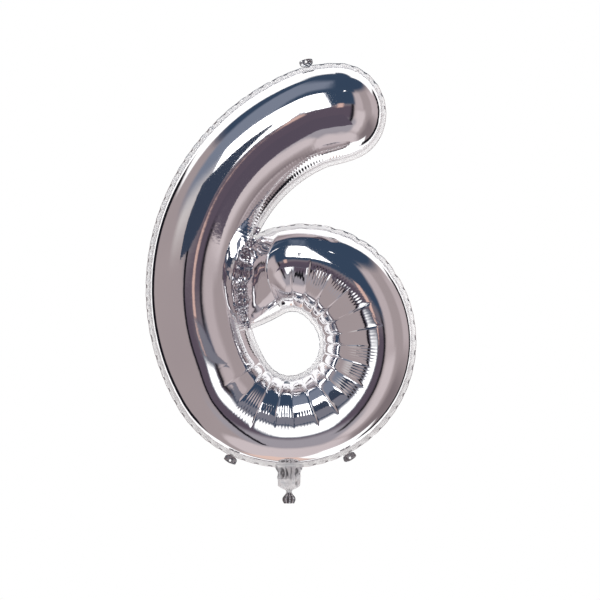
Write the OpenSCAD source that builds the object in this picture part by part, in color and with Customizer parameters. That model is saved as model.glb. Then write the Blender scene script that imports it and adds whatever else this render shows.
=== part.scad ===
// Foil number balloon, digit six, inflated.
//
// Two sheets of metallised film are cut to a curled strip and heat-sealed to each other round the rim,
// so the strip fills to a tube. The tube starts at the free tip, runs down the stem, round the bowl,
// and ends in a weld against the stem. The neck at the lowest point holds a flat self-sealing valve and
// is gathered and tied. Three small rim tabs carry a hole each, for hanging.
//
// Frame: millimetres, +Z up, +X to the reader's right, the front sheet faces -Y, and the seam lies in
// the plane y = 0. The origin is the centre of the tie on the neck.

/* [Bowl] */
// Radius of the tube's middle line under the bowl
bowl_low_r = 168; // [162:1:175]
// How far that arc turns to the right of the neck, in degrees
bowl_right_turn = 128.5; // [124:0.5:133]
// How far that arc turns to the left of the neck, in degrees
bowl_left_turn = 60; // [57:0.5:63]
// Radius of the middle line over the bowl
bowl_top_r = 146; // [138:1:154]
// How far the upper arc turns, in degrees
bowl_top_turn = 82; // [77:0.5:87]
// Radius of the outward bend in which the tube meets the stem
bowl_end_r = 300; // [200:10:500]

/* [Stem] */
// Radius of the stem's middle line
stem_r = 395; // [370:1:420]
// How far the stem turns, in degrees
stem_turn = 97; // [92:0.5:101]
// Radius of the last bend before the tip
tip_bend_r = 145; // [120:5:180]
// How far that bend turns, in degrees
tip_bend_turn = 25; // [10:0.5:35]

/* [Tube, measured from seam to seam] */
// Width straight above the neck
tube_w_bottom = 178; // [170:1:186]
// Width where the tube climbs on the right
tube_w_right = 190; // [180:1:200]
// Width over the bowl, near the weld
tube_w_top = 160; // [152:1:170]
// Width where the stem starts, on the left
tube_w_left = 194; // [184:1:204]
// Width near the top of the stem
tube_w_shoulder = 198; // [188:1:208]
// Width at the tip
tube_w_tip = 197; // [187:1:207]
// Depth of the filled tube, as a share of its width
fullness = 0.92; // [0.8:0.01:1]
// Length of the rounded tip, as a share of half its width
tip_roundness = 0.95; // [0.8:0.01:1]
// Length over which the tube flattens before the weld
weld_slope = 62; // [40:1:80]

/* [Film and seams] */
// Thickness of one sheet
film_t = 0.6; // [0.5:0.05:0.8]
// Flat margin outside the seam
rim_w = 9; // [7:0.5:11]
// Width of the weld between the bowl and the stem
weld_w = 6; // [4:0.5:8]

/* [Neck] */
// Distance from the rim down to the tie
neck_l = 50; // [45:1:62]
// Length of the loose end below the tie
neck_end_l = 26; // [18:1:32]
// Width of the neck where it leaves the rim
neck_root_w = 60; // [50:1:66]
// Width of the swelling above the tie
neck_bulb_w = 44; // [36:1:50]
// Depth of that swelling
neck_bulb_d = 24; // [16:1:28]
// Width of the flared loose end
neck_end_w = 27; // [22:1:32]
// Radius of the gathered film under the tie
waist_r = 5; // [4:0.25:6]
// Diameter of the tying thread
thread_d = 1.4; // [1:0.1:1.8]
// Number of turns of thread
thread_turns = 3; // [2:1:4]
// Gap at the fold line between the rim and the neck
neck_gap = 1.4; // [1.2:0.1:2]

/* [Valve] */
// Width of the valve's two plastic films
valve_w = 34; // [26:1:38]
// Length of the valve inside the envelope
valve_l = 96; // [70:1:110]
// Thickness of one valve film
valve_t = 0.25; // [0.2:0.05:0.3]

/* [Hanging tabs] */
// Width of a tab
tab_w = 25; // [22:0.5:28]
// Length of a tab
tab_l = 19; // [17:0.5:22]
// Thickness of a tab, both sheets sealed together
tab_t = 0.8; // [0.6:0.1:1]
// Diameter of the hole in a tab
tab_hole_d = 5; // [4:0.5:6]
// Gap at the fold line between the rim and a tab
tab_gap = 0.6; // [0.6:0.1:1]
// Place of the upper tab: distance along the stem's middle line from above the neck
tab_top_at = 868; // [820:1:880]
// Place of the lower left tab, the same way
tab_left_at = 78; // [60:1:100]
// Place of the lower right tab: distance along the bowl's middle line from above the neck
tab_right_at = 82; // [60:1:100]

/* [Hidden] */

// Number of segments across the tube, and spacing of the ribs along it
across = 12;
rib_step = 20;
tip_ribs = 6;
end_ribs = 6;
$fn = 48;

// The middle line, as [radius, turn] arcs away from the point above the neck.
// A negative pair bends the other way.
BOWL = [[bowl_low_r, bowl_right_turn], [bowl_top_r, bowl_top_turn], [-bowl_end_r, -40]];
STEM = [[bowl_low_r, bowl_left_turn], [stem_r, stem_turn], [tip_bend_r, tip_bend_turn]];
BOWL_W = [tube_w_bottom, tube_w_right, tube_w_top, tube_w_top];
STEM_W = [tube_w_bottom, tube_w_left, tube_w_shoulder, tube_w_tip];

spine_z = neck_l + rim_w + tube_w_bottom / 2;

function arc_l(arc) = arc[0] * arc[1] * PI / 180;
function total(arcs, k = 0) = k == len(arcs) ? 0 : arc_l(arcs[k]) + total(arcs, k + 1);
stem_l = total(STEM);

// Point and heading [x, z, heading] at the end of an arc that starts at p
function arc_end(p, arc) =
    let (h = p[2] + arc[1])
    [p[0] + arc[0] * (sin(h) - sin(p[2])), p[1] - arc[0] * (cos(h) - cos(p[2])), h];

// Point and heading at distance s along a chain of arcs
function along(arcs, s, k = 0, p = [0, 0, 0]) =
    k == len(arcs) - 1 || s <= arc_l(arcs[k])
        ? arc_end(p, [arcs[k][0], arcs[k][1] * s / arc_l(arcs[k])])
        : along(arcs, s - arc_l(arcs[k]), k + 1, arc_end(p, arcs[k]));

// Width at distance s, eased from the width at one joint to the next
function eased(t) = t * t * (3 - 2 * t);
function width(arcs, ws, s, k = 0) =
    k == len(arcs) - 1 || s <= arc_l(arcs[k])
        ? ws[k] + (ws[k + 1] - ws[k]) * eased(min(1, s / arc_l(arcs[k])))
        : width(arcs, ws, s - arc_l(arcs[k]), k + 1);

// The whole middle line: s runs from the tip (negative) past the neck (0) to the weld (positive)
function spine(s) =
    s >= 0
        ? along(BOWL, s) + [0, spine_z, 0]
        : let (p = along(STEM, min(-s, stem_l)), past = max(0, -s - stem_l))
          [-p[0] + past * -cos(p[2]), p[1] + past * sin(p[2]) + spine_z, -p[2]];

// Length of the rounded tip, and half the tube's width at s with its edge drawn in by some amount
function tip_l(inset) = tip_roundness * tube_w_tip / 2 - inset;
function half_w(s, inset = 0) =
    s >= 0 ? width(BOWL, BOWL_W, s) / 2 - inset
    : -s <= stem_l ? width(STEM, STEM_W, -s) / 2 - inset
    : (tube_w_tip / 2 - inset) * sqrt(max(0, 1 - pow((-s - stem_l) / tip_l(inset), 2)));

// Point [x, z] across the tube: v is -1 at the outer seam and 1 at the inner seam
function across_at(s, v, inset = 0) =
    let (p = spine(s), w = v * half_w(s, inset))
    [p[0] - sin(p[2]) * w, p[1] + cos(p[2]) * w];

// Distance of a point from the stem's inner seam, negative inside the stem's tube
stem_samples = [for (i = [0 : 60]) let (s = -i * stem_l / 60) [spine(s), half_w(s)]];
function off_stem(q) = min([for (c = stem_samples) norm(q - [c[0][0], c[0][1]]) - c[1]]);

// Where the line at v across the bowl's tube meets the weld, found by halving an interval
bowl_far = arc_l(BOWL[0]) + arc_l(BOWL[1]) + 220;
bowl_near = arc_l(BOWL[0]) + arc_l(BOWL[1]) * 0.62;
function meet(v, lo, hi, n) =
    n == 0 ? (lo + hi) / 2
    : let (mid = (lo + hi) / 2)
      off_stem(across_at(mid, v)) > weld_w ? meet(v, mid, hi, n - 1) : meet(v, lo, mid, n - 1);
ENDS = [for (j = [0 : across]) meet(-cos(180 * j / across), bowl_near, bowl_far, 14)];

// Ribs: distances along the tube up to where it starts to close on the weld
close_at = min(ENDS) - weld_slope;
rib_n = ceil((stem_l + close_at) / rib_step);
RIBS = [for (i = [1 : rib_n]) -stem_l + (stem_l + close_at) * i / rib_n];

// How much of its depth the tube has at a given distance from the weld
function closing(d) = d >= weld_slope ? 1 : sqrt(max(0, 1 - pow(1 - d / weld_slope, 2)));

// One rib of the sheet: inset is 0 for its outside and film_t for its inside
function rib(s, inset) =
    [for (j = [0 : across])
        let (phi = 180 * j / across, q = across_at(s, -cos(phi), inset))
        [q[0], -(film_t - inset) - fullness * half_w(s, inset) * sin(phi), q[1]]];
function end_rib(t, inset) =
    [for (j = [0 : across])
        let (phi = 180 * j / across, far = ENDS[j] - inset, s = close_at + (far - close_at) * t,
             q = across_at(s, -cos(phi), inset))
        [q[0], -(film_t - inset) - fullness * half_w(s, inset) * sin(phi) * closing(far - s), q[1]]];
function sheet(inset) = concat(
    [for (i = [0 : tip_ribs]) rib(-stem_l - tip_l(inset) * cos(90 * i / tip_ribs), inset)],
    [for (s = RIBS) rib(s, inset)],
    [for (i = [1 : end_ribs]) end_rib(sin(90 * i / end_ribs), inset)]);

// A closed wall between an outer and an inner grid of points. A row whose points all coincide,
// such as the tip, is a single corner.
module wall(outer, inner) {
    rows = len(outer);
    cols = len(outer[0]);
    single = [for (row = outer) norm(row[0] - row[cols - 1]) < 0.001 && norm(row[0] - row[1]) < 0.001];
    function id(side, i, j) = (side * rows + i) * cols + (single[i] ? 0 : j);
    quads = concat(
        [for (i = [0 : rows - 2]) for (j = [0 : cols - 2])
            [id(0, i, j), id(0, i, j + 1), id(0, i + 1, j + 1), id(0, i + 1, j)]],
        [for (i = [0 : rows - 2]) for (j = [0 : cols - 2])
            [id(1, i, j), id(1, i + 1, j), id(1, i + 1, j + 1), id(1, i, j + 1)]],
        [for (i = [0 : rows - 2]) [id(0, i, 0), id(0, i + 1, 0), id(1, i + 1, 0), id(1, i, 0)]],
        [for (i = [0 : rows - 2])
            [id(0, i, cols - 1), id(1, i, cols - 1), id(1, i + 1, cols - 1), id(0, i + 1, cols - 1)]],
        single[0] ? [] :
            [for (j = [0 : cols - 2]) [id(0, 0, j), id(1, 0, j), id(1, 0, j + 1), id(0, 0, j + 1)]],
        [for (j = [0 : cols - 2])
            [id(0, rows - 1, j), id(0, rows - 1, j + 1), id(1, rows - 1, j + 1), id(1, rows - 1, j)]]);
    corners = [for (q = quads) for (t = [[q[0], q[1], q[2]], [q[0], q[2], q[3]]])
        if (t[0] != t[1] && t[1] != t[2] && t[2] != t[0]) t];
    points = concat([for (row = outer) each row], [for (row = inner) each row]);
    polyhedron(points, corners);
}

// Flat outline of the tube inside its seams: down the outer seam, across the weld, back up the inner
OUTSIDE = sheet(0);
last = len(OUTSIDE) - 1;
function flat(q) = [q[0], q[2]];
module tube_outline() polygon(concat(
    [for (i = [0 : last - 1]) flat(OUTSIDE[i][0])],
    [for (q = OUTSIDE[last]) flat(q)],
    [for (i = [last - 1 : -1 : 1]) flat(OUTSIDE[i][across])]));

// The rim: a flat margin round the tube, which also fills the weld between the bowl and the stem
module rim() rotate([90, 0, 0]) linear_extrude(film_t) difference() {
    offset(delta = rim_w) tube_outline();
    offset(delta = -film_t) tube_outline();
}

// One sheet of the envelope. The sheet's depth is half that of the filled tube.
half_depth = film_t + fullness * max([for (s = RIBS) half_w(s)]);
module foil() resize([0, half_depth, 0]) {
    wall(OUTSIDE, sheet(film_t));
    rim();
}

// One half of the neck, from the fold line down past the tie, as [z, half width, half depth] ribs
neck_top_z = neck_l - neck_gap;
NECK = [[neck_top_z, neck_root_w / 2, film_t + 0.4],
        [neck_top_z * 0.85, neck_root_w * 0.46, neck_bulb_d * 0.2],
        [neck_top_z * 0.62, neck_bulb_w * 0.48, neck_bulb_d * 0.42],
        [neck_top_z * 0.40, neck_bulb_w / 2, neck_bulb_d / 2],
        [neck_top_z * 0.20, neck_bulb_w * 0.42, neck_bulb_d * 0.42],
        [thread_turns * thread_d / 2 + 1, waist_r, waist_r],
        [-thread_turns * thread_d / 2 - 1, waist_r, waist_r],
        [-neck_end_l * 0.55, neck_end_w * 0.36, waist_r * 0.8],
        [-neck_end_l, neck_end_w / 2, waist_r * 0.6]];
neck_cols = 12;
function neck_grid(inset) =
    [for (r = NECK) [for (j = [0 : neck_cols]) let (phi = 180 * j / neck_cols)
        [-cos(phi) * (r[1] - inset), -sin(phi) * (r[2] - inset), r[0]]]];
module neck_half() wall(neck_grid(0), neck_grid(film_t));

// Valve films: a flat pair inside the envelope, and their gathered lower stretch inside the neck
module valve_film() translate([-valve_w / 2, -valve_t, neck_l]) cube([valve_w, valve_t, valve_l]);
module neck_valve_film() rotate([90, 0, 0]) linear_extrude(valve_t) polygon([
    [-valve_w / 2, neck_top_z], [-waist_r * 0.6, waist_r], [-waist_r * 0.6, -neck_end_l * 0.8],
    [waist_r * 0.6, -neck_end_l * 0.8], [waist_r * 0.6, waist_r], [valve_w / 2, neck_top_z]]);

module thread() for (i = [0 : thread_turns - 1])
    translate([0, 0, (i - (thread_turns - 1) / 2) * thread_d])
        rotate_extrude() translate([waist_r + thread_d / 2, 0]) circle(d = thread_d);

// A hanging tab on the outer rim beside the point s of the middle line
module tab_at(s) {
    p = spine(s);
    edge = half_w(s) + rim_w + tab_gap;
    translate([p[0] + sin(p[2]) * edge, 0, p[1] - cos(p[2]) * edge]) rotate([0, 180 - p[2], 0]) tab();
}

// The tab itself, standing up from its fold line along X
module tab() rotate([90, 0, 0]) difference() {
    linear_extrude(tab_t, center = true) {
        translate([-tab_w / 2, 0]) square([tab_w, tab_l - tab_w / 3]);
        translate([0, tab_l - tab_w / 3]) intersection() {
            scale([1, 2 / 3]) circle(d = tab_w);
            translate([-tab_w / 2, -0.01]) square([tab_w, tab_w / 3 + 0.01]);
        }
    }
    translate([0, tab_l * 0.55, 0]) cylinder(h = tab_t + 2, d = tab_hole_d, center = true);
}

module front_foil() color([0.80, 0.80, 0.82]) foil();
module back_foil() color([0.74, 0.74, 0.77]) mirror([0, 1, 0]) foil();
module valve_front_film() color([0.90, 0.92, 0.94]) valve_film();
module valve_back_film() color([0.84, 0.87, 0.90]) mirror([0, 1, 0]) valve_film();
module neck_front_foil() color([0.72, 0.72, 0.74]) neck_half();
module neck_back_foil() color([0.66, 0.66, 0.69]) mirror([0, 1, 0]) neck_half();
module neck_valve_front_film() color([0.90, 0.92, 0.94]) neck_valve_film();
module neck_valve_back_film() color([0.84, 0.87, 0.90]) mirror([0, 1, 0]) neck_valve_film();
module tie_thread() color([0.85, 0.85, 0.85]) thread();
module tab_top() color([0.70, 0.70, 0.72]) tab_at(-tab_top_at);
module tab_lower_left() color([0.70, 0.70, 0.72]) tab_at(-tab_left_at);
module tab_lower_right() color([0.70, 0.70, 0.72]) tab_at(tab_right_at);

front_foil();
back_foil();
valve_front_film();
valve_back_film();
neck_front_foil();
neck_back_foil();
neck_valve_front_film();
neck_valve_back_film();
tie_thread();
tab_top();
tab_lower_left();
tab_lower_right();
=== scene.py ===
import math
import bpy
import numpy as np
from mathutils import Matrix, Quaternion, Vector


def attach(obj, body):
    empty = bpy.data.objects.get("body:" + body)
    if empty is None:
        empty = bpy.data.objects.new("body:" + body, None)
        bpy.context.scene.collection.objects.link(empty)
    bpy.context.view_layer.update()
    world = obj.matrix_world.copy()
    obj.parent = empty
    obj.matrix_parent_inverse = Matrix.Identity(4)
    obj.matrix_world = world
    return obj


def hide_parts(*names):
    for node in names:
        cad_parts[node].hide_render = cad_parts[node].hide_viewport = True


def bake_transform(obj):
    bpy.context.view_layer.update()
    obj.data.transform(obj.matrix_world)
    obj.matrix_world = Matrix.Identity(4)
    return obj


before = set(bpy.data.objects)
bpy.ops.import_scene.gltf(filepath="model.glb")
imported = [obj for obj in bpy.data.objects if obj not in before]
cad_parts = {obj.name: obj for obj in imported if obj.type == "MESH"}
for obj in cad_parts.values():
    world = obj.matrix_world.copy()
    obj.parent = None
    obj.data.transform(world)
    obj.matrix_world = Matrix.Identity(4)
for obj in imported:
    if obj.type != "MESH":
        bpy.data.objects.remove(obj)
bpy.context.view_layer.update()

# %% [markdown]
# # A foil number balloon
# The real balloon is two sheets of metallised film, sealed to each other round the rim and filled
# with gas. This lesson rebuilds it round a fixed CAD frame. The sheets are flat grids rolled up in
# code along the tube's middle line, because the film bends but does not stretch, and a formula for
# a filled film tube gives the true section. All sizes are in millimetres until a mesh is written.

scene = bpy.context.scene
draw = np.random.default_rng(6)
MM = 0.001

# %% [markdown]
# ## The camera
# A long lens, straight on and level with the middle of the balloon, keeps the digit's proportions.
# A shorter lens would swell the nearest part of the tube.

# %% Camera
CAMERA_AT = (0.0235, -3.6, 0.4076)
bpy.ops.object.camera_add(location=CAMERA_AT, rotation=(math.radians(90), 0, 0))
camera = bpy.context.active_object
camera.data.sensor_width = 36
camera.data.lens = 101.25
camera.data.clip_end = 60
scene.camera = camera
scene.view_settings.view_transform = "Standard"
print("camera lens:", camera.data.lens, "mm")

# %% [markdown]
# ## The tube's middle line
# The digit is a strip curled along a line of circular arcs. The line starts above the neck and runs
# both ways: up the stem to the tip, and round the bowl to the weld. Each arc gives a radius and a
# turn in degrees. Widths are measured from seam to seam at the joints between arcs.

# %% Middle line
BOWL = [(168, 128.5), (146, 82), (-300, -40)]  # radius and degrees of each arc
STEM = [(168, 60), (395, 97), (145, 25)]
BOWL_W = [178, 190, 160, 160]  # from seam to seam, at both ends of each arc
STEM_W = [178, 194, 198, 197]
TUBE_LOW_Z = 148  # height of the line's lowest point
RIM = 9  # width of the sealed margin
WELD = 6  # width of the weld between bowl and stem
FILM = 0.6  # room left for the film on each side of the seam plane


def chain(arcs, widths, s):
    """x, z, heading, half width and curvature at distances s along a chain of arcs"""
    x, z, turn, half, curve = (np.zeros_like(s) for _ in range(5))
    ax = az = ah = start = 0.0
    for i, (radius, degrees) in enumerate(arcs):
        length = radius * math.radians(degrees)
        here = (s >= start) & ((s <= start + length) | (i == len(arcs) - 1))
        t = (s - start)[here]
        h = ah + t / radius
        x[here] = ax + radius * (np.sin(h) - math.sin(ah))
        z[here] = az - radius * (np.cos(h) - math.cos(ah))
        turn[here] = h
        curve[here] = 1 / radius
        e = np.clip(t / length, 0, 1)
        half[here] = (widths[i] + (widths[i + 1] - widths[i]) * e * e * (3 - 2 * e)) / 2
        end = ah + length / radius
        ax += radius * (math.sin(end) - math.sin(ah))
        az -= radius * (math.cos(end) - math.cos(ah))
        ah, start = end, start + length
    return x, z, turn, half, curve


STEM_L = sum(r * math.radians(a) for r, a in STEM)
TIP_L = 0.95 * STEM_W[-1] / 2  # a little less than a half circle


def spine(s):
    """The whole middle line: s is negative on the stem and positive on the bowl"""
    s = np.asarray(s, float)
    bowl = chain(BOWL, BOWL_W, np.maximum(s, 0))
    past = np.maximum(0, -s - STEM_L)
    x, z, turn, half, curve = chain(STEM, STEM_W, np.clip(-s, 0, STEM_L))
    half = half * np.sqrt(np.maximum(0, 1 - (past / TIP_L) ** 2))
    stem = (-(x + past * np.cos(turn)), z + past * np.sin(turn), -turn, half, curve)
    x, z, turn, half, curve = (np.where(s < 0, a, b) for a, b in zip(stem, bowl))
    return x, z + TUBE_LOW_Z, turn, half, curve


print("stem", round(STEM_L), "mm, tip", round(TIP_L), "mm")

# %% [markdown]
# ## The section of a filled film tube
# Film bends freely but cannot stretch, so a bent tube of film is not round. It stands upright at the
# seam on the outside of the bend and slopes gently to the seam on the inside. Balancing the gas
# pressure against the pull of the film gives the curve below. It is worked out once for a few bends
# and looked up for all the others.

# %% Section curve
FULL = 1.06  # depth over what the formula gives
ACROSS = 46  # points from seam to seam


def section_curve(bend, columns):
    """v and depth across a filled tube: bend is its half width over the radius it is bent to"""
    def curve(lean):
        far, near = (1 + bend) ** 2, (1 - bend) ** 2
        ridge = (lean * far + near) / (1 + lean)
        psi = np.linspace(-math.pi / 2, math.asin(lean), 500)
        q = ridge - np.sin(psi) * (far - ridge)
        slope = -np.sin(psi) * (far - ridge) / (2 * bend * np.sqrt(q))
        y = np.concatenate([[0], np.cumsum((slope[1:] + slope[:-1]) / 2 * np.diff(psi))])
        return (1 - np.sqrt(q)) / bend, y
    low, high = 0.2, 1.0
    for _ in range(30):
        lean = (low + high) / 2
        low, high = (low, lean) if curve(lean)[1][-1] < 0 else (lean, high)
    v, y = curve(lean)
    y = y - y[-1] * np.linspace(0, 1, len(y))
    pick = np.linspace(0, len(v) - 1, columns)
    return np.interp(pick, range(len(v)), v), np.interp(pick, range(len(v)), y) * FULL


BENDS = np.linspace(0.02, 0.72, 15)
CURVES = np.array([section_curve(b, ACROSS) for b in BENDS])


def section(bend):
    """Rows of v and depth for an array of bends; a negative bend is the mirror image"""
    size = np.clip(np.abs(bend), BENDS[0], BENDS[-1])
    k = np.clip(np.searchsorted(BENDS, size) - 1, 0, len(BENDS) - 2)
    f = ((size - BENDS[k]) / (BENDS[k + 1] - BENDS[k]))[:, None, None]
    both = CURVES[k] * (1 - f) + CURVES[k + 1] * f
    v, y = both[:, 0], both[:, 1]
    back = bend < 0
    v[back], y[back] = -v[back][:, ::-1], y[back][:, ::-1]
    return v, y


print("depth of a straight tube over its half width:", round(CURVES[0, 1].max(), 2))

# %% [markdown]
# ## Where the bowl meets the stem
# The bowl's end is sealed against the stem's inner seam. Each line along the bowl is followed until
# it comes within the weld's width of that seam.

# %% Weld line
WELD_NEAR, WELD_FAR = 470.0, 800.0  # the weld is looked for between these
stem_s = -np.linspace(0, STEM_L, 500)
stem_x, stem_z, _, stem_half, _ = spine(stem_s)


def place(s, v):
    """x and z of the point at v across the tube at s"""
    x, z, turn, half, _ = spine(s)
    return x - np.sin(turn) * v * half, z + np.cos(turn) * v * half


def weld_end(v):
    """Distance along the middle line at which each line v meets the weld"""
    low, high = np.full(v.shape, WELD_NEAR), np.full(v.shape, WELD_FAR)
    for _ in range(20):
        mid = (low + high) / 2
        x, z = place(mid, v)
        gap = np.hypot(x[:, None] - stem_x, z[:, None] - stem_z) - stem_half
        apart = gap.min(1) > WELD
        low, high = np.where(apart, mid, low), np.where(apart, high, mid)
    return (low + high) / 2


WELD_V = np.linspace(-1, 1, 81)
WELD_S = weld_end(WELD_V)
print("weld runs from", WELD_S.min().round(), "to", WELD_S.max().round(), "mm along the bowl")

# %% [markdown]
# ## Rows along the tube
# Rows lie close together where the film is finely pleated, in the bowl, and further apart in the
# stem. At the tip they crowd together, so that its outline stays round.

# %% Rows
ROW_STEM, ROW_BOWL = 1.55, 1.25  # distance between rows
FINE_FROM, ROWS_END = -230, 660  # first and last of the closer rows
BEND_TO = 455  # rows past this one turn to lie along the weld
TIP_ROWS = 70
MOST_BEND, TIP_BEND = 0.46, 0.12


def blurred(values, reach, spread):
    """Values smoothed with a bell curve; reach and spread are counted in rows"""
    bell = np.exp(-0.5 * (np.arange(-reach, reach + 1) / spread) ** 2)
    return np.convolve(np.pad(values, reach, mode="edge"), bell / bell.sum(), "valid")


tip_rows = -STEM_L - TIP_L * np.sin(np.linspace(math.pi / 2, 0, TIP_ROWS, endpoint=False))
stem_rows = np.linspace(-STEM_L, FINE_FROM, int((STEM_L + FINE_FROM) / ROW_STEM), endpoint=False)
bowl_rows = np.linspace(FINE_FROM, ROWS_END, int((ROWS_END - FINE_FROM) / ROW_BOWL))
S_ROW = np.concatenate([tip_rows, stem_rows, bowl_rows])
_, _, _, half_row, curve_row = spine(S_ROW)
tip_ease = np.clip((-S_ROW - STEM_L + 70) / 90, 0, 1)
bend_row = np.minimum(half_row * curve_row, MOST_BEND) * (1 - tip_ease) + TIP_BEND * tip_ease
bend_row = blurred(bend_row, 50, 22)
V, DEPTH = section(bend_row)
late = np.clip((S_ROW - BEND_TO) / (S_ROW[-1] - BEND_TO), 0, 1)[:, None]
far_end = np.interp(V, WELD_V, WELD_S)
S = np.where(late > 0, BEND_TO + (far_end - BEND_TO) * late, S_ROW[:, None] + 0 * V)
print(len(S_ROW), "rows of", ACROSS, "points")

# %% [markdown]
# ## The smooth envelope
# Every row is a section curve set square to the middle line. Near the weld the tube runs flat, so
# its depth closes like a quarter of an ellipse. The normals made here say which way a wrinkle stands.

# %% Smooth envelope
WELD_SLOPE = 62  # the tube closes over this length
RIDGE_COLUMN = 27  # near the highest line of the tube
SMOOTHINGS, PULL = 700, 0.9
X, Z, TURN, HALF, _ = spine(S)
TO_WELD = far_end - S
closing = np.sqrt(np.maximum(0, 1 - np.maximum(0, 1 - TO_WELD / WELD_SLOPE) ** 2))
ACROSS_X, ACROSS_Z = -np.sin(TURN), np.cos(TURN)
TUBE = np.stack([X + ACROSS_X * V * HALF,
                 -FILM - DEPTH * HALF * closing,
                 Z + ACROSS_Z * V * HALF], -1)

# Where the stem runs into the tip, each row is pulled to its neighbours, most on the inner side.
inner_side = np.clip((V + 1.0) / 1.6, 0, 1)[..., None]
inner_side = inner_side * inner_side * (3 - 2 * inner_side)
near_bend = np.exp(-((S_ROW + STEM_L - 8) / 50) ** 2)[:, None, None] * inner_side ** 1.5
for _ in range(SMOOTHINGS):
    pull = (TUBE[:-2] + TUBE[2:]) / 2 - TUBE[1:-1]
    TUBE[1:-1] += PULL * near_bend[1:-1] * pull


def outward(points):
    """Unit normals of a grid of points, turned to the front"""
    n = np.cross(np.gradient(points, axis=0), np.gradient(points, axis=1))
    n /= np.maximum(1e-9, np.linalg.norm(n, axis=-1, keepdims=True))
    return n * np.where(n[..., 1:2] > 0, -1, 1)


def run(points):
    """Length along a line of points"""
    return np.concatenate([[0], np.cumsum(np.linalg.norm(np.diff(points, axis=0), axis=1))])


NORMAL = outward(TUBE)
steps = np.linalg.norm(np.diff(TUBE, axis=1), axis=2)
FROM_OUTER = np.concatenate([np.zeros((len(S), 1)), np.cumsum(steps, 1)], 1)
FROM_INNER = FROM_OUTER[:, -1:] - FROM_OUTER
INNER_RUN, OUTER_RUN = run(TUBE[:, -1])[:, None], run(TUBE[:, 0])[:, None]
RIDGE_RUN = run(TUBE[:, RIDGE_COLUMN])[:, None]
print("film across the tube: up to", FROM_OUTER[:, -1].max().round(), "mm")
print("inner seam:", INNER_RUN[-1].round(), "mm")

# %% [markdown]
# ## Wrinkles
# A flat sheet that is forced round a bend has film to spare. It gathers in fine pleats along the
# inner seam, in long creases across the bowl, and in a fluttering rim outside. Against the weld it
# crumples. All of it is moved in code, along the normals, from one seeded table of numbers.

# %% Wrinkle helpers
LATTICE = 64
lattice = draw.random((LATTICE, LATTICE))


def noise(p, q):
    """Smooth noise from 0 to 1 over two coordinates"""
    p, q = np.broadcast_arrays(p, q)
    i, j = np.floor(p).astype(int), np.floor(q).astype(int)
    f, g = p - i, q - j
    f, g = f * f * (3 - 2 * f), g * g * (3 - 2 * g)
    i, j, i_next, j_next = (k % LATTICE for k in (i, j, i + 1, j + 1))
    a, b = lattice[i, j], lattice[i_next, j]
    c, d = lattice[i, j_next], lattice[i_next, j_next]
    return a * (1 - f) * (1 - g) + b * f * (1 - g) + c * (1 - f) * g + d * f * g


def ridged(p, q):
    """Sharp folds, from -1 in a valley to 1 on a ridge"""
    return 1 - 4 * np.abs(noise(p, q) - 0.5)


def ease(value, low, high):
    """0 below low, 1 above high, eased between them"""
    t = np.clip((value - low) / (high - low), 0, 1)
    return t * t * (3 - 2 * t)


bowl_part = ease(S_ROW, -215, -150)[:, None]
hook_part = ease(S_ROW, -STEM_L + 35, -STEM_L + 110)[:, None]
seam_z = TUBE[:, -1, 2]
weld_height = ease(seam_z, 335, 350) * (1 - ease(seam_z, 556, 572))
at_weld = weld_height * (S_ROW < -100) * (S_ROW > -700)  # the stem's side of the weld
print("rows in the bowl:", int((S_ROW > -150).sum()))

# %% Seam line: creases, scallops and flutter shared by both sheets
CREASES = [-208.0]
LAST_CREASE = 520
while CREASES[-1] < LAST_CREASE:
    CREASES.append(CREASES[-1] + 36 + 14 * draw.random())
CREASES = np.array(CREASES)
panel = np.clip(np.searchsorted(CREASES, S_ROW) - 1, 0, len(CREASES) - 2)
in_panel = np.clip((S_ROW - CREASES[panel]) / (CREASES[panel + 1] - CREASES[panel]), 0, 1)
bulge = (4 * in_panel * (1 - in_panel))[:, None] * bowl_part
seam_pleats = np.cos(INNER_RUN[:, 0] / 1.05) * (1 - bowl_part[:, 0])
inner_shift = 0.9 * bulge[:, 0] + 0.25 * seam_pleats
flutter_turn = OUTER_RUN[:, 0] / 28 + 0.9 * noise(OUTER_RUN[:, 0] / 70, 3.3)
flutter_node = 1 - np.abs(np.sin(math.pi * flutter_turn))  # 1 where the rim dips in
top_part = ease(S_ROW, 330, 370) * (1 - ease(S_ROW, 585, 620))  # the bowl's top
scallop = np.abs(np.sin(math.pi * (OUTER_RUN[:, 0] / 52)))
outer_shift = -0.7 * flutter_node ** 2 - 2.8 * top_part * (1 - scallop) ** 2
flutter_height = 0.4 + noise(OUTER_RUN[:, 0] / 33, 9.1)
rim_wave_outer = 2.2 * np.sin(2 * math.pi * flutter_turn) * flutter_height
rim_wave_outer = rim_wave_outer * (1 - top_part) + 3.0 * top_part * (scallop - 0.6)
rim_wave_inner = np.sin(INNER_RUN[:, 0] / 3.7 + 3 * noise(INNER_RUN[:, 0] / 40, 5.5))
rim_wave_inner = rim_wave_inner * (0.5 - 0.4 * bowl_part[:, 0])
print(len(CREASES), "creases round the bowl")


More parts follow.
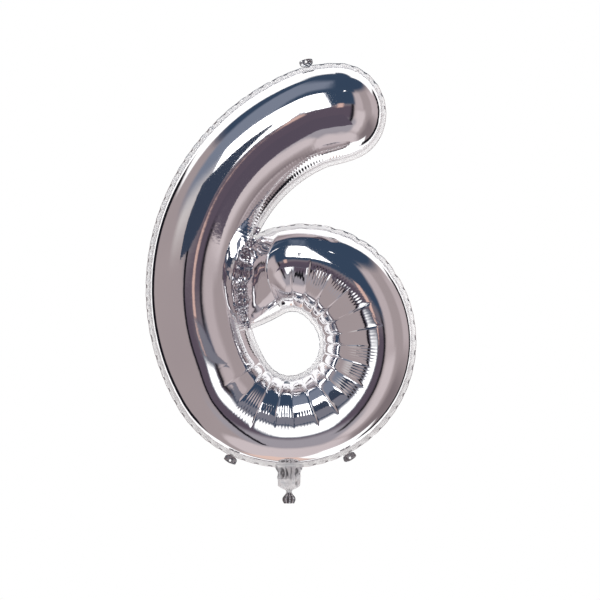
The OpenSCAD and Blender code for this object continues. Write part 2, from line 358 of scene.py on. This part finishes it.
# %% Wrinkles of one sheet
def wrinkles(seed):
    """How far each point of a sheet stands off the smooth tube, in mm"""
    own = np.random.default_rng(seed)
    shift = 17.3 * seed
    # fine pleats along the stem's inner seam
    pleat_turn = INNER_RUN / 6.4 + 0.5 * noise(INNER_RUN / 21, shift)
    pleat = np.cos(2 * math.pi * pleat_turn)
    reach = 11 + 12 * noise(INNER_RUN / 9, shift + 2)
    grow = 1 - np.exp(-FROM_INNER / 1.5)
    off = 0.46 * pleat * np.exp(-FROM_INNER / reach) * grow * hook_part * (1 - 0.94 * bowl_part)
    # long creases across the bowl; rows stand closer on its inner side
    local = 1 - bend_row[:, None] * V
    for s in CREASES:
        end = -0.28 + 0.4 * own.random()
        lean = 9 * (own.random() - 0.5)
        away = np.abs(S - s - lean * (1 - V) / 2) * local
        height = (0.8 + 0.6 * own.random()) * ease(V, end, end + 0.16) * bowl_part
        off = off - height * np.exp(-away / 1.5) * (1 - 0.8 * np.exp(-FROM_INNER / 3))
    # fine gathers in some panels, and panels that bulge and tilt
    mid = ease(V, -0.22, 0.02) * (1 - ease(V, 0.34, 0.52))
    strength = own.random(len(CREASES))[panel][:, None] ** 1.5
    fine = np.cos(2 * math.pi * (RIDGE_RUN / 7.0 + 0.4 * noise(RIDGE_RUN / 25, shift + 4)))
    off = off + 0.20 * fine * mid * strength * bulge
    off = off + 0.55 * bulge * ease(V, -0.1, 0.3)
    tilt = (own.random(len(CREASES)) - 0.5)[panel][:, None]
    off = off + 0.9 * tilt * (in_panel[:, None] - 0.5) * ease(V, 0.0, 0.3) * bowl_part
    # dents where the rim flutters
    dent = flutter_node[:, None] ** 3
    off = off - 0.55 * dent * np.exp(-FROM_OUTER / 8) * (1 - np.exp(-FROM_OUTER / 1.2))
    # crumple on both sides of the weld
    near = np.exp(-TO_WELD / 13) * (1 - np.exp(-TO_WELD / 1.5))
    off = off + 3.0 * near * ridged(V * HALF / 7 + shift, TO_WELD / 15)
    near = np.exp(-FROM_INNER / 17) * (1 - np.exp(-FROM_INNER / 1.5)) * at_weld[:, None]
    off = off + 2.4 * near * ridged(INNER_RUN / 8 + shift, FROM_INNER / 13)
    # broad unevenness, and streaks along the stem
    off = off + 0.5 * (noise(RIDGE_RUN / 90 + shift, FROM_OUTER / 60) - 0.5)
    streak = ease(FROM_INNER, 22, 40) * (1 - ease(FROM_INNER, 90, 120)) * (1 - bowl_part)
    off = off + 0.27 * streak * (noise(RIDGE_RUN / 85 + shift, FROM_INNER / 4.2) - 0.5)
    return off


# %% [markdown]
# ## From a flat grid to a sheet
# A grid primitive is the flat sheet. Its columns go once round a closed section: front of the film,
# margin, hidden inside, margin. Its vertices are carried to their places, the two long edges and the
# poles are merged, and the normals are worked out again because the roll may turn them round.

# %% Sheet helpers
def grid_piece(name, places):
    """A grid primitive whose vertices are carried to places[row, column], in mm, and wrap round"""
    places = np.concatenate([places, places[:, :1]], 1)
    rows, cols = places.shape[:2]
    bpy.ops.object.select_all(action="DESELECT")
    bpy.ops.mesh.primitive_grid_add(x_subdivisions=cols - 1, y_subdivisions=rows - 1, size=2)
    piece = bpy.context.active_object
    piece.name = piece.data.name = name
    flat = np.empty(rows * cols * 3)
    piece.data.vertices.foreach_get("co", flat)
    flat = flat.reshape(-1, 3)
    col = np.rint((flat[:, 0] + 1) / 2 * (cols - 1)).astype(int)
    row = np.rint((flat[:, 1] + 1) / 2 * (rows - 1)).astype(int)
    piece.data.vertices.foreach_set("co", (places[row, col] * MM).ravel())
    return piece, row, col


def close_up(piece, fill=True):
    """Merges doubles, fills what is still open, and turns all faces outward"""
    bpy.ops.object.mode_set(mode="EDIT")
    bpy.ops.mesh.select_mode(type="VERT")
    bpy.ops.mesh.select_all(action="SELECT")
    bpy.ops.mesh.remove_doubles(threshold=2e-6)
    if fill:
        bpy.ops.mesh.select_all(action="DESELECT")
        bpy.ops.mesh.select_non_manifold()
        bpy.ops.mesh.fill()
    bpy.ops.mesh.select_all(action="SELECT")
    bpy.ops.mesh.normals_make_consistent(inside=False)
    bpy.ops.object.mode_set(mode="OBJECT")
    bpy.ops.object.shade_smooth()
    print(piece.name, len(piece.data.polygons), "faces")


def mark(piece, name, values):
    """Writes one number per vertex for a material to read"""
    layer = piece.data.attributes.new(name, "FLOAT", "POINT")
    layer.data.foreach_set("value", np.asarray(values, float))


# %% The flat margin
MARGIN_COLS, INSIDE_COLS = 3, 8
FILM_FIRST, FILM_LAST = MARGIN_COLS, MARGIN_COLS + ACROSS - 1
CUT_OUTER, CUT_INNER = 0, FILM_LAST + MARGIN_COLS  # the columns on the cut edges
SEAM_GAP = 0.05  # keeps the two sheets from touching
BACK_PROUD = 0.9  # how far the back sheet's cut edge stands out past the front one's


def margin(column, inner_column, distance):
    """Points of the margin at a distance outside one seam"""
    seam = TUBE[:, column][:, [0, 2]]
    along = np.gradient(seam, axis=0)
    side = np.stack([along[:, 1], -along[:, 0]], 1)
    across = seam - TUBE[:, inner_column][:, [0, 2]]
    side *= np.where((side * across).sum(1, keepdims=True) < 0, -1, 1)
    side[0] = [math.cos(-TURN[0, 0] + math.pi), -math.sin(-TURN[0, 0] + math.pi)]
    side /= np.maximum(1e-9, np.linalg.norm(side, axis=1, keepdims=True))
    return seam + side * distance[:, None]


def sheet_places(side, seed):
    """The closed section of one sheet, row by row; side is 1 in front and -1 behind"""
    near_inner = np.exp(-FROM_INNER / 22)[..., None]
    near_outer = np.exp(-FROM_OUTER / 12)[..., None]
    film = TUBE + NORMAL * wrinkles(seed)[..., None]
    film[..., 1] = np.minimum(film[..., 1], -FILM / 2)
    across = np.stack([ACROSS_X, 0 * ACROSS_X, ACROSS_Z], -1)
    film = film + across * (near_inner * inner_shift[:, None, None]
                            - near_outer * outer_shift[:, None, None])
    crush = 2.0 * at_weld * ridged(INNER_RUN[:, 0] / 9 + seed, 4.4)
    edges = []
    for column, other, shift, wave in ((0, -1, outer_shift, rim_wave_outer),
                                       (-1, 0, inner_shift, rim_wave_inner)):
        strip = []
        for d in (3, 6, RIM + (BACK_PROUD if side < 0 else 0)):
            flat = margin(column, other, d - shift if column else d + shift)
            lift = wave * (d / RIM) * side - (np.abs(crush) * (d == 6) if column else 0)
            strip.append(np.stack([flat[:, 0], lift - FILM / 2, flat[:, 1]], -1))
        under = strip[-1].copy()
        under[:, 1] = strip[-1][:, 1] + FILM / 2 - SEAM_GAP
        edges.append((strip, under))
    pick = np.linspace(ACROSS - 1, 0, INSIDE_COLS).astype(int)
    depth = 0.5 + 1.7 * ease(np.minimum(FROM_INNER, FROM_OUTER), 2, 20)
    inside = (film - NORMAL * depth[..., None])[:, pick]
    inside[:, [0, -1], 1] = -SEAM_GAP
    inside[..., 1] = np.minimum(inside[..., 1], -SEAM_GAP)
    inside[-1, :, 1] = -SEAM_GAP
    (outer, outer_under), (inner, inner_under) = edges
    ring = np.concatenate([np.stack(outer[::-1], 1), film, np.stack(inner, 1),
                           inner_under[:, None], inside, outer_under[:, None]], 1)
    # the first row is the pole at the tip, where both halves of the section meet
    ring[0, FILM_FIRST:FILM_LAST + 1] = film[0, 0]
    ring[0, -1 - INSIDE_COLS:-1] = film[0, 0] + [0, FILM / 2 - SEAM_GAP, 0]
    for k in range(MARGIN_COLS):
        ring[0, FILM_LAST + 1 + k] = ring[0, FILM_FIRST - 1 - k]
    ring[0, CUT_INNER + 1] = ring[0, -1]
    ring[..., 1] *= side
    return ring


def film_sheet(name, side, seed):
    """Builds one sheet of the envelope"""
    places = sheet_places(side, seed)
    piece, row, col = grid_piece(name, places)
    col = col % places.shape[1]
    sealed = (col < FILM_FIRST) | ((col > FILM_LAST) & (col <= CUT_INNER))
    on_seam = (col == FILM_FIRST) | (col == FILM_LAST)
    pale = np.where(sealed, 1.0, np.where(on_seam, 0.5, 0.0))
    pale[(col >= FILM_LAST) & (at_weld[row] > 0.5)] = 0.0
    # painted shade: short near-black dashes on the front sheet's rim where it dips and curls, and a
    # near-black line along both cut edges of the back sheet, where it stands out past the front one
    curled = (col == CUT_OUTER) & (flutter_node[row] > 0.70 - 0.25 * noise(S_ROW[row] / 31, 6.6))
    pale[curled] = 0.1
    dark = np.where(curled, 0.9, 0.0)
    if side < 0:
        on_cut = (col == CUT_OUTER) | (col == CUT_INNER)
        pale[on_cut] = 0.1
        dark = np.where(on_cut, 1.0, 0.0)
    mark(piece, "margin", pale)
    mark(piece, "painted_shade", dark)
    close_up(piece)
    return piece


front_film = film_sheet("front_film_sheet", 1, 1)
back_film = film_sheet("back_film_sheet", -1, 2)

# %% [markdown]
# ## The neck
# Below the bowl the two sheets run on as a narrow neck, which is gathered and tied. Gathered film
# stands in folds that get finer towards the tie and crumple between. The folds are one function of
# the angle round the neck, so the front and back halves meet at their edges.

# %% Neck
NECK_Z = np.array([57, 50, 45, 38, 30, 19, 10, 6, 3.1, -3.1, -8, -14, -20, -26.0])
NECK_HALF = np.array([30, 27, 22.5, 21, 21.5, 22.5, 21.5, 17, 5.4, 5.0, 8.5, 11.5, 12.0, 9.0])
NECK_DEEP = np.array([0.9, 2.5, 5, 9, 11, 12, 11, 8.5, 5, 4.6, 5, 5, 4.5, 3.5])
NECK_TOP, NECK_LENGTH = 57.0, 83.0
NECK_ROWS, NECK_COLS = 150, 70


def neck_half(name, side):
    """One half of the neck, a closed thin shell"""
    t = np.linspace(0, 1, NECK_ROWS)[:, None]
    z = NECK_TOP - NECK_LENGTH * t
    half = np.interp(z, NECK_Z[::-1], NECK_HALF[::-1])
    deep = np.interp(z, NECK_Z[::-1], NECK_DEEP[::-1])
    half, deep = (blurred(a[:, 0], 12, 4)[:, None] for a in (half, deep))
    angle = np.linspace(0, math.pi, NECK_COLS)[None] * side
    turn = angle / math.pi * 4
    tight = np.exp(-(z / 9) ** 2)
    body = ease(NECK_TOP - z, 0, 12)
    low = ease(-z, 4, 14)
    # folds at the tie, crumples between, flutes below the root, and the fan under the tie
    fold = 0.16 * tight * np.cos(17 * angle + 1.0 * noise(z / 6, 2.2))
    fold = fold + 0.17 * (1 - tight) * ridged(turn * 1.5 + 3 * noise(z / 17, 7.7), z / 19 + 4)
    fold = fold + 0.08 * (1 - tight) * ridged(turn * 2.6 + 9, z / 11 + 2 * noise(turn, 3.1))
    flutes = ease(z, 16, 34) * (1 - ease(z, 50, 57))
    fold = fold + 0.14 * flutes * np.cos(15 * angle + 2 * noise(z / 9, 1.2))
    fold = fold + 0.22 * low * np.cos(9 * angle)
    fold = fold * body * (1 - 0.5 * np.cos(angle) ** 8)
    size = 1 + fold
    lift = 3.0 * body * (1 - tight) * (noise(turn * 2 + 5, z / 8) - 0.5)
    outer = np.stack([-np.cos(angle) * half * size,
                      -np.sin(angle) * (deep * (1 + 1.6 * fold) + np.abs(lift)) - 0.35 * side,
                      z + 0 * angle], -1)
    inner = outer * [0.97, 1, 1] + [0, 0.3 * side, 0]
    inner[..., 1] = -side * np.maximum(-side * inner[..., 1], 0.03)  # stays on its own side
    inner[[0, -1]] = outer[[0, -1]]
    places = np.concatenate([outer, inner[:, ::-1]], 1)
    piece, row, col = grid_piece(name, places)
    col = col % places.shape[1]
    height = NECK_TOP - NECK_LENGTH * row / (NECK_ROWS - 1)
    mark(piece, "margin", 0.6 * ease(height, -4, 3))
    # painted shade in the folds: dark strokes fan up the neck, the valleys between folds are
    # darkened, and the fan under the tie gets dark bands
    strokes = np.maximum(0, np.cos(13 * angle + 5 * noise(z / 14, 1.2 + angle))) ** 3
    strokes = strokes * ease(z, 20, 34) * (1 - ease(z, 46, 56))
    shade = np.maximum(0.85 * strokes, 0.8 * ease(-fold, 0.05, 0.16) * (z > 3))
    shade = np.where(z < -3, 0.45 + 0.5 * np.cos(9 * angle), shade)
    outer_col = np.minimum(col, 2 * NECK_COLS - 1 - col) % NECK_COLS
    mark(piece, "painted_shade", np.clip(shade, 0, 0.9)[row, outer_col])
    close_up(piece, fill=False)
    return piece


neck_front = neck_half("neck_front_film", 1)
neck_back = neck_half("neck_back_film", -1)

# %% [markdown]
# ## The hanging tabs
# Three tabs of the margin stand out beyond the rim, each with a punched hole. A tab is a ring of
# film from the edge of the hole to the cut outline. It is crumpled, given its thickness with a
# Solidify modifier, and set on its fold line.

# %% Tabs
# a point on each fold line of the frame, and the way the tab points, both as x and z
TAB_FOLDS = {"tab_top": ((38.5603, 905.783), (-0.238097, 0.971241)),
             "tab_lower_left": ((-120.867, 74.6504), (-0.447784, -0.894142)),
             "tab_lower_right": ((125.362, 79.8878), (0.468944, -0.883228))}
TAB_HALF_W, TAB_L, HOLE_R = 12.3, 18.8, 2.6
TAB_UNDER = 8.0  # how far the tab runs back over the margin
HOLE_UP = 0.55 * 19  # from the fold to the middle of the hole
TAB_WALL = 0.35


def tab_film(name, fold_line, seed):
    """One crumpled tab with its hole"""
    foot, out = np.array(fold_line[0]), np.array(fold_line[1])
    along = np.array([out[1], -out[0]])
    angle = np.linspace(0, 2 * math.pi, 72, endpoint=False)[None]
    c, s = np.cos(angle), np.sin(angle)
    up_or_down = np.where(s > 0, TAB_L - HOLE_UP, HOLE_UP + TAB_UNDER)
    far = (np.abs(c / TAB_HALF_W) ** 4 + np.abs(s / up_or_down) ** 3) ** 0.27
    far = 1 / np.maximum(1e-6, far)
    t = np.linspace(0, 1, 22)[:, None]
    r = HOLE_R + (far - HOLE_R) * t
    a, b = r * c, r * s + HOLE_UP
    loose = ease(b, -2, 5)
    crumple = 1.5 * ridged(a / 7 + seed, b / 9) + 0.9 * ridged(a / 4 + 3, b / 4 + seed)
    y = loose * crumple * ease(r - HOLE_R, -2, 3)
    y = y + loose * 1.5 * (noise(a / 16 + seed, b / 14) - 0.5)
    a = a * (1 - 0.10 * loose * noise(b / 5, seed))
    flat = foot + a[..., None] * along + b[..., None] * out
    places = np.stack([flat[..., 0], y - 0.5 * (1 - loose), flat[..., 1]], -1)
    piece, _, _ = grid_piece(name + "_film", places)
    thick = piece.modifiers.new("thickness", "SOLIDIFY")
    thick.thickness, thick.offset = TAB_WALL * MM, 0
    close_up(piece, fill=False)
    bpy.ops.object.modifier_apply(modifier=thick.name)
    return piece


tabs = {name: tab_film(name, line, 2.7 * k + 1)
        for k, (name, line) in enumerate(TAB_FOLDS.items())}

# %% [markdown]
# ## Materials
# The film is a polished metal coat on plastic, so it is all reflection. What makes it look real is
# small: faint ripples along the tube, a soft bloom that changes over the surface, and a duller,
# paler heat-sealed margin. The ripple and bloom are one node group that every film shares.

# %% Shared ripple group
def film_ripple_group():
    """Ripple height and bloom mask for any film, from object coordinates"""
    group = bpy.data.node_groups.new("film_ripple", "ShaderNodeTree")
    group.interface.new_socket("Vector", in_out="INPUT", socket_type="NodeSocketVector")
    group.interface.new_socket("Scale", in_out="INPUT", socket_type="NodeSocketFloat")
    group.interface.new_socket("Height", in_out="OUTPUT", socket_type="NodeSocketFloat")
    group.interface.new_socket("Bloom", in_out="OUTPUT", socket_type="NodeSocketFloat")
    n, link = group.nodes, group.links.new
    given, out = n.new("NodeGroupInput"), n.new("NodeGroupOutput")
    large, small = n.new("ShaderNodeTexNoise"), n.new("ShaderNodeTexNoise")
    wide = n.new("ShaderNodeMath")
    wide.operation = "MULTIPLY"
    wide.inputs[1].default_value = 6
    link(given.outputs["Vector"], large.inputs["Vector"])
    link(given.outputs["Vector"], small.inputs["Vector"])
    link(given.outputs["Scale"], large.inputs["Scale"])
    link(given.outputs["Scale"], wide.inputs[0])
    link(wide.outputs[0], small.inputs["Scale"])
    large.inputs["Detail"].default_value = 1
    small.inputs["Detail"].default_value = 3
    link(small.outputs["Fac"], out.inputs["Height"])
    link(large.outputs["Fac"], out.inputs["Bloom"])
    return group


RIPPLE = film_ripple_group()
print("group outputs:", [s.name for s in RIPPLE.interface.items_tree if s.in_out == "OUTPUT"])


# %% Film materials
MARGIN_TONE, MARGIN_ROUGH, MARGIN_METAL = (0.93, 0.92, 0.91), 0.55, 0.06
# painted shade: the near-black tone laid on the rim dashes, the back sheet's cut edges and the neck's
# folds
PAINTED_SHADE_TONE = (0.05, 0.05, 0.055)


def film_material(name, bright, dull, rough, bump, scale=9.0):
    """Metallised film: bright and dull are its colours, rough its lowest and highest roughness"""
    material = bpy.data.materials.new(name)
    material.use_nodes = True
    n, link = material.node_tree.nodes, material.node_tree.links.new
    shader = n["Principled BSDF"]
    where, ripple = n.new("ShaderNodeTexCoord"), n.new("ShaderNodeGroup")
    ripple.node_tree = RIPPLE
    ripple.inputs["Scale"].default_value = scale
    link(where.outputs["Object"], ripple.inputs["Vector"])
    margin_band = n.new("ShaderNodeAttribute")
    margin_band.attribute_name = "margin"
    tint, edge = n.new("ShaderNodeMix"), n.new("ShaderNodeMix")
    tint.data_type = edge.data_type = "RGBA"
    tint.inputs["A"].default_value, tint.inputs["B"].default_value = (*bright, 1), (*dull, 1)
    link(ripple.outputs["Bloom"], tint.inputs["Factor"])
    edge.inputs["B"].default_value = (*MARGIN_TONE, 1)
    link(margin_band.outputs["Fac"], edge.inputs["Factor"])
    link(tint.outputs["Result"], edge.inputs["A"])
    # painted shade: the attribute below mixes a near-black tone into the base colour wherever the
    # sheets mark it
    painted_shade_band, painted_shade_mix = n.new("ShaderNodeAttribute"), n.new("ShaderNodeMix")
    painted_shade_band.attribute_name = "painted_shade"
    painted_shade_mix.data_type = "RGBA"
    painted_shade_mix.inputs["B"].default_value = (*PAINTED_SHADE_TONE, 1)
    link(painted_shade_band.outputs["Fac"], painted_shade_mix.inputs["Factor"])
    link(edge.outputs["Result"], painted_shade_mix.inputs["A"])
    link(painted_shade_mix.outputs["Result"], shader.inputs["Base Color"])
    spread, worn = n.new("ShaderNodeMapRange"), n.new("ShaderNodeMix")
    spread.inputs["To Min"].default_value, spread.inputs["To Max"].default_value = rough
    link(ripple.outputs["Bloom"], spread.inputs["Value"])
    link(spread.outputs["Result"], worn.inputs["A"])
    link(margin_band.outputs["Fac"], worn.inputs["Factor"])
    worn.inputs["B"].default_value = MARGIN_ROUGH
    link(worn.outputs["Result"], shader.inputs["Roughness"])
    raised = n.new("ShaderNodeBump")
    raised.inputs["Strength"].default_value = bump
    raised.inputs["Distance"].default_value = 0.0004
    link(ripple.outputs["Height"], raised.inputs["Height"])
    link(raised.outputs["Normal"], shader.inputs["Normal"])
    metal = n.new("ShaderNodeMapRange")
    metal.inputs["To Min"].default_value, metal.inputs["To Max"].default_value = 1.0, MARGIN_METAL
    link(margin_band.outputs["Fac"], metal.inputs["Value"])
    link(metal.outputs["Result"], shader.inputs["Metallic"])
    return material


FILM_FINISH = film_material("silver_film", (0.95, 0.94, 0.95), (0.86, 0.85, 0.87),
                            (0.03, 0.10), 0.25)
# the tabs are the same silver film with more roughness and relief; their darker tone is painted shade
# of their crumples
TAB_DARKENED_FILM = film_material("crumpled_silver_film_painted_dark", (0.55, 0.55, 0.56), (0.30, 0.30, 0.31),
                           (0.15, 0.35), 0.6, 40)
NECK_FINISH = film_material("gathered_silver_film", (0.97, 0.97, 0.98), (0.80, 0.80, 0.82),
                            (0.03, 0.10), 0.08, 14)


def clear_finish(name, pale, deep, rough, scale, bump):
    """Plastic film or thread: two shades, a roughness and a fine relief"""
    material = bpy.data.materials.new(name)
    material.use_nodes = True
    n, link = material.node_tree.nodes, material.node_tree.links.new
    shader = n["Principled BSDF"]
    where, ripple = n.new("ShaderNodeTexCoord"), n.new("ShaderNodeGroup")
    tint = n.new("ShaderNodeMix")
    ripple.node_tree = RIPPLE
    ripple.inputs["Scale"].default_value = scale
    tint.data_type = "RGBA"
    tint.inputs["A"].default_value, tint.inputs["B"].default_value = (*pale, 1), (*deep, 1)
    link(where.outputs["Object"], ripple.inputs["Vector"])
    link(ripple.outputs["Height"], tint.inputs["Factor"])
    link(tint.outputs["Result"], shader.inputs["Base Color"])
    raised = n.new("ShaderNodeBump")
    raised.inputs["Strength"].default_value = bump
    raised.inputs["Distance"].default_value = 0.0003
    link(ripple.outputs["Height"], raised.inputs["Height"])
    link(raised.outputs["Normal"], shader.inputs["Normal"])
    shader.inputs["Roughness"].default_value = rough
    return material


VALVE_FINISH = clear_finish("valve_film", (0.88, 0.90, 0.92), (0.72, 0.76, 0.80), 0.25, 40, 0.4)
THREAD_FINISH = clear_finish("tie_thread", (0.80, 0.80, 0.80), (0.55, 0.55, 0.56), 0.7, 300, 0.9)


def dress(piece, material):
    """Gives a piece one material in place of any it has"""
    piece.data.materials.clear()
    piece.data.materials.append(material)


for piece in (front_film, back_film):
    dress(piece, FILM_FINISH)
for piece in (neck_front, neck_back):
    dress(piece, NECK_FINISH)
for piece in tabs.values():
    dress(piece, TAB_DARKENED_FILM)
for node in ("valve_front_film", "valve_back_film", "neck_valve_front_film",
             "neck_valve_back_film", "tie_thread"):
    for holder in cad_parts[node].material_slots:
        holder.material = THREAD_FINISH if node == "tie_thread" else VALVE_FINISH

# %% [markdown]
# ## Riding on the frame
# Each film sheet stands for one CAD node, whose part is hidden. The envelope's two sheets ride on the
# envelope's body; the neck halves and the tabs are baked where they are built.

# %% Ride and replace
for piece, node in ((front_film, "front_foil"), (back_film, "back_foil")):
    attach(piece, "envelope")
    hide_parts(node)
for piece, node in ((neck_front, "neck_front_foil"), (neck_back, "neck_back_foil")):
    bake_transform(piece)
    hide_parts(node)
for name, piece in tabs.items():
    foot, out = TAB_FOLDS[name]
    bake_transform(piece)
    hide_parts(name)

# %% Sheets: how many there are
print("sheets:", 4 + len(tabs))

# %% [markdown]
# ## Studio
# Polished film shows only its surroundings, so the studio is half of its look. The camera sees a
# white room. Reflections see a room of soft-edged patches: mauve walls, a navy ceiling, white behind
# the balloon with a dark strip on each side of it, which draw the lines along the tube. Cards add a
# soft light high on the left, a pale sweep low in front, and three flags.

# %% Room
def math_node(n, link, operation, *values):
    """One Math node; each value is a number or the output of another node"""
    node = n.new("ShaderNodeMath")
    node.operation = operation
    for socket, value in zip(node.inputs, values):
        if isinstance(value, (int, float)):
            socket.default_value = value
        else:
            link(value, socket)
    return node.outputs[0]


def smooth_ramp(n, link, value, start, end):
    """0 at start and 1 at end, eased between them; start may be the larger"""
    ramp = n.new("ShaderNodeMapRange")
    ramp.interpolation_type = "SMOOTHSTEP"
    ramp.inputs["From Min"].default_value, ramp.inputs["From Max"].default_value = start, end
    link(value, ramp.inputs["Value"])
    return ramp.outputs["Result"]


def patch(n, link, turn, rise, under, box, colour, soft):
    """Mixes one soft-edged patch of the room over what lies under it; box is in degrees"""
    mask = None
    for value, low, high in ((turn, box[0], box[1]), (rise, box[2], box[3])):
        for start, end in ((low - soft / 2, low + soft / 2), (high + soft / 2, high - soft / 2)):
            ramp = smooth_ramp(n, link, value, start, end)
            mask = ramp if mask is None else math_node(n, link, "MULTIPLY", mask, ramp)
    mix = n.new("ShaderNodeMix")
    mix.data_type = "RGBA"
    mix.inputs["B"].default_value = (*colour, 1)
    link(mask, mix.inputs["Factor"])
    link(under, mix.inputs["A"])
    return mix.outputs["Result"]


WHITE = (1.25, 1.25, 1.25)
MAUVE = (0.385, 0.325, 0.33)
PALE_MAUVE = (0.64, 0.56, 0.57)
DEEP_MAUVE = (0.22, 0.18, 0.19)
ROSE = (0.52, 0.445, 0.455)
PLUM = (0.11, 0.085, 0.115)
LILAC = (0.36, 0.335, 0.37)
SILVER = (0.66, 0.62, 0.61)
NAVY = (0.038, 0.064, 0.112)
STEEL = (0.20, 0.23, 0.30)
BLACK = (0.008, 0.008, 0.012)
SALMON = (0.70, 0.47, 0.41)
PEACH = (0.80, 0.58, 0.50)
# Low and high azimuth (0 is towards the camera, right is positive), low and high elevation, then
# the tone and how many degrees its edges fade over. A later patch lies over an earlier one.
ROOM = [((-190, 190, 42, 95), NAVY, 14), ((-190, 190, -95, -58), PALE_MAUVE, 10),
        ((-143, -18, -58, 42), MAUVE, 5), ((-64, -22, 12, 36), SILVER, 18),
        ((-75, -8, 24, 75), STEEL, 16), ((-22, 44, 4, 50), NAVY, 10),
        ((42, 130, -58, 37), MAUVE, 6), ((35, 60, -58, 16), MAUVE, 6),
        ((28, 60, -58, 3), MAUVE, 6), ((34, 66, -58, -6), PALE_MAUVE, 14),
        ((80, 132, -58, -16), DEEP_MAUVE, 24), ((34, 58, -6, 37), ROSE, 10),
        ((96, 128, -4, 34), ROSE, 12),
        ((-18, 28, -58, 3), PLUM, 10), ((-34, 40, -62, -30), LILAC, 14),
        ((24, 30, -42, 6), BLACK, 6),
        ((-190, -152, -74, -50), PEACH, 8), ((166, 190, -74, -50), PEACH, 8),
        ((-190, -143, -44, 60), WHITE, 4), ((-190, -112, 26, 72), WHITE, 8),
        ((142, 190, -44, 60), WHITE, 4), ((112, 166, -72, -42), WHITE, 6),
        ((122, 190, 26, 66), WHITE, 8),
        ((-143, -124, -38, 26), BLACK, 4), ((130, 142, -45, 26), BLACK, 4),
        ((5, 11, -2, 8), SALMON, 3), ((-19, -14, -58, 16), BLACK, 2),
        ((168, 200, -36, 6), PLUM, 6), ((-200, -168, -36, 6), PLUM, 6),
        ((174, 200, -8, 26), WHITE, 5), ((-200, -174, -8, 26), WHITE, 5)]
world = bpy.data.worlds.new("studio")
scene.world = world
world.use_nodes = True
n, link = world.node_tree.nodes, world.node_tree.links.new
n.clear()
where, split = n.new("ShaderNodeTexCoord"), n.new("ShaderNodeSeparateXYZ")
link(where.outputs["Generated"], split.inputs[0])
back = math_node(n, link, "MULTIPLY", split.outputs["Y"], -1)
turn = math_node(n, link, "ARCTAN2", split.outputs["X"], back)
turn = math_node(n, link, "MULTIPLY", turn, 180 / math.pi)
rise = math_node(n, link, "ARCSINE", split.outputs["Z"])
rise = math_node(n, link, "MULTIPLY", rise, 180 / math.pi)
plain = n.new("ShaderNodeRGB")
plain.outputs[0].default_value = (*MAUVE, 1)
colour = plain.outputs[0]
for box, tone, blur in ROOM:
    colour = patch(n, link, turn, rise, colour, box, tone, blur)
seen, both = n.new("ShaderNodeLightPath"), n.new("ShaderNodeMix")
both.data_type = "RGBA"
both.inputs["B"].default_value = (1, 1, 1, 1)
link(seen.outputs["Is Camera Ray"], both.inputs["Factor"])
link(colour, both.inputs["A"])
shine, out = n.new("ShaderNodeBackground"), n.new("ShaderNodeOutputWorld")
link(both.outputs["Result"], shine.inputs["Color"])
link(shine.outputs[0], out.inputs["Surface"])
print(len(ROOM), "patches in the room")


# %% Floor and cards
def glow(name, colour, edge=None, fade=0.15):
    """A glowing material; with an edge tone it fades to that tone at its sides"""
    material = bpy.data.materials.new(name)
    material.use_nodes = True
    n, link = material.node_tree.nodes, material.node_tree.links.new
    n.clear()
    light, out = n.new("ShaderNodeEmission"), n.new("ShaderNodeOutputMaterial")
    light.inputs["Color"].default_value = (*colour, 1)
    link(light.outputs[0], out.inputs["Surface"])
    if edge:
        where, split = n.new("ShaderNodeTexCoord"), n.new("ShaderNodeSeparateXYZ")
        link(where.outputs["UV"], split.inputs[0])
        inside = 1.0
        for axis in ("X", "Y"):
            for start, end in ((0, fade), (1, 1 - fade)):
                ramp = smooth_ramp(n, link, split.outputs[axis], start, end)
                inside = math_node(n, link, "MULTIPLY", ramp, inside)
        mix = n.new("ShaderNodeMix")
        mix.data_type = "RGBA"
        mix.inputs["A"].default_value, mix.inputs["B"].default_value = (*edge, 1), (*colour, 1)
        link(inside, mix.inputs["Factor"])
        link(mix.outputs["Result"], light.inputs["Color"])
    return material


def card(name, at, size, colour, roll=0, face=(0.02, 0, 0.45), edge=None, fade=0.15):
    """A glowing card that only reflections see, turned to face the balloon"""
    look = Vector(face) - Vector(at)
    bpy.ops.object.select_all(action="DESELECT")
    bpy.ops.mesh.primitive_plane_add(size=1, location=at)
    piece = bpy.context.active_object
    piece.name = name
    piece.scale = (*size, 1)
    piece.rotation_mode = "QUATERNION"
    rolled = Quaternion((0, 0, 1), math.radians(roll))
    piece.rotation_quaternion = look.to_track_quat("Z", "Y") @ rolled
    piece.data.materials.append(glow(name, colour, edge, fade))
    piece.visible_camera = False


card("light_flag", (-0.499, -1.072, 0.817), (0.74, 0.52), (0.04, 0.055, 0.09),
     face=(-0.236, -0.249, 0.315))
card("soft_light", (-0.30, -1.00, 1.06), (0.72, 0.80), (3, 3, 3), roll=-20,
     edge=(0.2, 0.23, 0.3), fade=0.05)
card("white_sweep", (0.12, -1.3, -0.07), (0.47, 0.84), (1.5, 1.5, 1.5),
     face=(0.12, 0, -0.07), edge=(0.12, 0.13, 0.17), fade=0.22)
# two flags lie flat, one just over the other, so that each side has its own tone
card("dark_flag", (0.12, -0.86, 0.377), (0.56, 0.84), (0.10, 0.08, 0.11), face=(0.12, -0.8599, 0))
card("grey_flag", (0.12, -0.86, 0.373), (0.56, 0.84), (0.20, 0.20, 0.24), face=(0.12, -0.8599, 0))
card("small_lamp", (0.5, -1.6, 2.2), (0.10, 0.07), (3, 3, 3))

bpy.ops.object.light_add(type="AREA", location=(0.2, -3.2, 1.4),
                         rotation=(math.radians(72), 0, 0))
fill_light = bpy.context.active_object
fill_light.data.size = 1.6
fill_light.data.energy = 66
fill_light.visible_glossy = False

bpy.ops.mesh.primitive_plane_add(size=14, location=(0, 0, -0.12))
floor = bpy.context.active_object
floor.name = "pale_floor"
floor.data.materials.append(glow("pale_floor", (1, 1, 1)))
floor.visible_glossy = False
